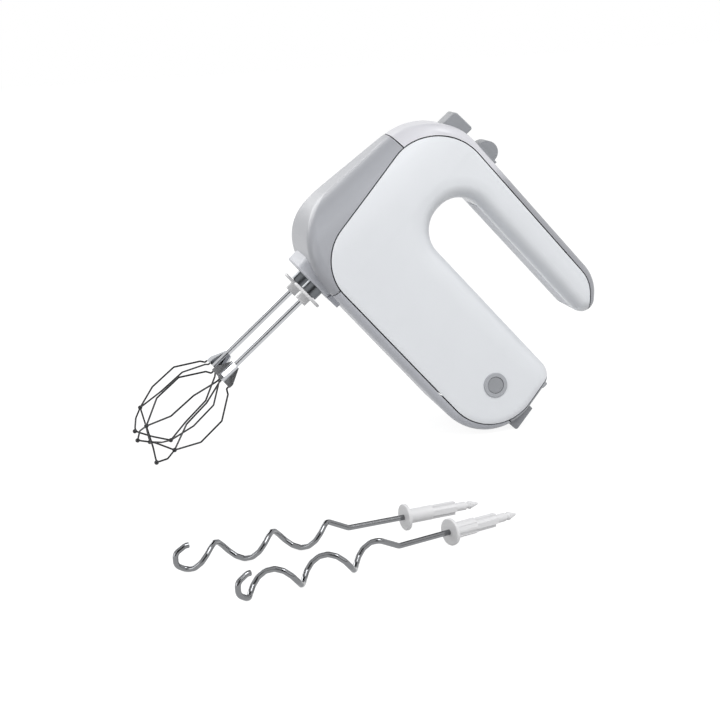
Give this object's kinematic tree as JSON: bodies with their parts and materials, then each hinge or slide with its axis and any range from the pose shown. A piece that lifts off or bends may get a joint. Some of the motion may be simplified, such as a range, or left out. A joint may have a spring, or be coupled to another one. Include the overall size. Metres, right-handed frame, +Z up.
{
  "type": "hand mixer",
  "caption": "Electric hand mixer with an open-backed handle over its motor, wire whisks fitted, dough hooks laid beside it, speed slider, tool ejector and a flap over a rear drive port.",
  "frame": {"origin": "on the table, under the middle of the bounding box of the mixer and its hooks", "axes": "+Z up from the table, +X from the whisk tips towards the heel, +Y away from the hooks, across the mixer"},
  "size_m": [0.308, 0.3632, 0.2073],
  "materials": {
    "white_shell": "moulded, soft gloss",
    "grey_cover": "moulded, soft gloss",
    "pale_strip": "moulded, soft gloss",
    "soft_liner": "soft grip, satin",
    "control_grey": "satin",
    "heel_grey": "satin",
    "tool_white": "moulded",
    "polished_steel": "polished",
    "spreader_dark": "moulded",
    "plain_steel": "turned",
    "dark_plastic": "moulded",
    "gear_plastic": "moulded",
    "laminated_iron": "stacked sheet",
    "copper": "enamelled wire",
    "bronze": "sintered",
    "carbon": "pressed",
    "black_rubber": "matt",
    "board_green": "coated"
  },
  "bodies": {
    "housing": {"side_panel_left": "white_shell", "heel_foot_left": "heel_grey", "spindle_bush_left": "bronze", "release_bezel_left": "control_grey", "side_panel_right": "white_shell", "heel_foot_right": "heel_grey", "spindle_bush_right": "bronze", "release_bezel_right": "control_grey", "front_cover": "grey_cover", "top_strip": "pale_strip", "handle_liner": "soft_liner", "base_rail": "grey_cover", "rear_frame": "grey_cover", "tool_collar": "grey_cover", "collar_screws": "plain_steel", "flap_pin": "plain_steel", "port_socket": "dark_plastic", "gear_case": "dark_plastic", "front_bearing": "plain_steel", "rear_bearing": "plain_steel", "rear_bracket": "dark_plastic", "stator_core": "laminated_iron", "field_coils": "copper", "motor_pads": "black_rubber", "brush_holders": "dark_plastic", "carbon_brushes": "carbon", "control_board": "board_green", "switch_block": "dark_plastic"},
    "armature": {"motor_shaft": "plain_steel", "armature_core": "laminated_iron", "armature_windings": "copper", "commutator": "copper", "cooling_fan": "dark_plastic", "rear_coupling": "dark_plastic"},
    "spindle_left": {"spindle_left": "polished_steel", "worm_wheel_left": "gear_plastic"},
    "spindle_right": {"spindle_right": "polished_steel", "worm_wheel_right": "gear_plastic"},
    "whisk_left": {"whisk_left_hub": "tool_white", "whisk_left_rod": "polished_steel", "whisk_left_spreader": "spreader_dark", "whisk_left_wires": "polished_steel"},
    "whisk_right": {"whisk_right_hub": "tool_white", "whisk_right_rod": "polished_steel", "whisk_right_spreader": "spreader_dark", "whisk_right_wires": "polished_steel"},
    "ejector": {"ejector_button": "control_grey", "ejector_rod": "dark_plastic"},
    "speed_slider": {"speed_knob": "control_grey"},
    "release_left": {"release_button_left": "control_grey"},
    "release_right": {"release_button_right": "control_grey"},
    "flap": {"port_flap": "grey_cover"},
    "hook_left": {"dough_hook_left_hub": "tool_white", "dough_hook_left_rod": "polished_steel"},
    "hook_right": {"dough_hook_right_hub": "tool_white", "dough_hook_right_rod": "polished_steel"}
  },
  "joints": [
    {"name": "motor_spin", "type": "hinge", "parent": "housing", "child": "armature", "pos_m": [-0.00676, 0.13892, 0.12578], "axis": [0.6434, 0, -0.7655], "continuous": true},
    {"name": "spindle_left_spin", "type": "hinge", "parent": "housing", "child": "spindle_left", "pos_m": [-0.00676, 0.11792, 0.12578], "axis": [0.7655, 0, 0.6434], "continuous": true},
    {"name": "spindle_right_spin", "type": "hinge", "parent": "housing", "child": "spindle_right", "pos_m": [-0.00676, 0.15992, 0.12578], "axis": [0.7655, 0, 0.6434], "continuous": true},
    {"name": "whisk_left_pull", "type": "slide", "parent": "spindle_left", "child": "whisk_left", "axis": [-0.7655, 0, -0.6434], "range_m": [0, 0.0435]},
    {"name": "whisk_right_pull", "type": "slide", "parent": "spindle_right", "child": "whisk_right", "axis": [-0.7655, 0, -0.6434], "range_m": [0, 0.0435]},
    {"name": "ejector_press", "type": "slide", "parent": "housing", "child": "ejector", "axis": [-0.7655, 0, -0.6434], "range_m": [0, 0.005], "stiffness_N_per_m": 1500},
    {"name": "speed_slide", "type": "slide", "parent": "housing", "child": "speed_slider", "axis": [0.6314, 0, -0.7754], "range_m": [0, 0.014]},
    {"name": "release_left_press", "type": "slide", "parent": "housing", "child": "release_left", "axis": [-0.1167, 0.9883, -0.0981], "range_m": [0, 0.003], "stiffness_N_per_m": 800},
    {"name": "release_right_press", "type": "slide", "parent": "housing", "child": "release_right", "axis": [-0.1167, -0.9883, -0.0981], "range_m": [0, 0.003], "stiffness_N_per_m": 800},
    {"name": "flap_open", "type": "hinge", "parent": "housing", "child": "flap", "pos_m": [0.11698, 0.13892, 0.02519], "axis": [0, -1, 0], "range_deg": [0, 95]},
    {"name": "hook_left_lift", "type": "slide", "parent": "housing", "child": "hook_left", "axis": [0, 0, 1], "range_m": [0, 0.12]},
    {"name": "hook_right_lift", "type": "slide", "parent": "housing", "child": "hook_right", "axis": [0, 0, 1], "range_m": [0, 0.12]}
  ],
  "couplings": [
    {"joint": "spindle_left_spin", "follows": "motor_spin", "ratio": 0.05},
    {"joint": "spindle_right_spin", "follows": "motor_spin", "ratio": -0.05}
  ]
}
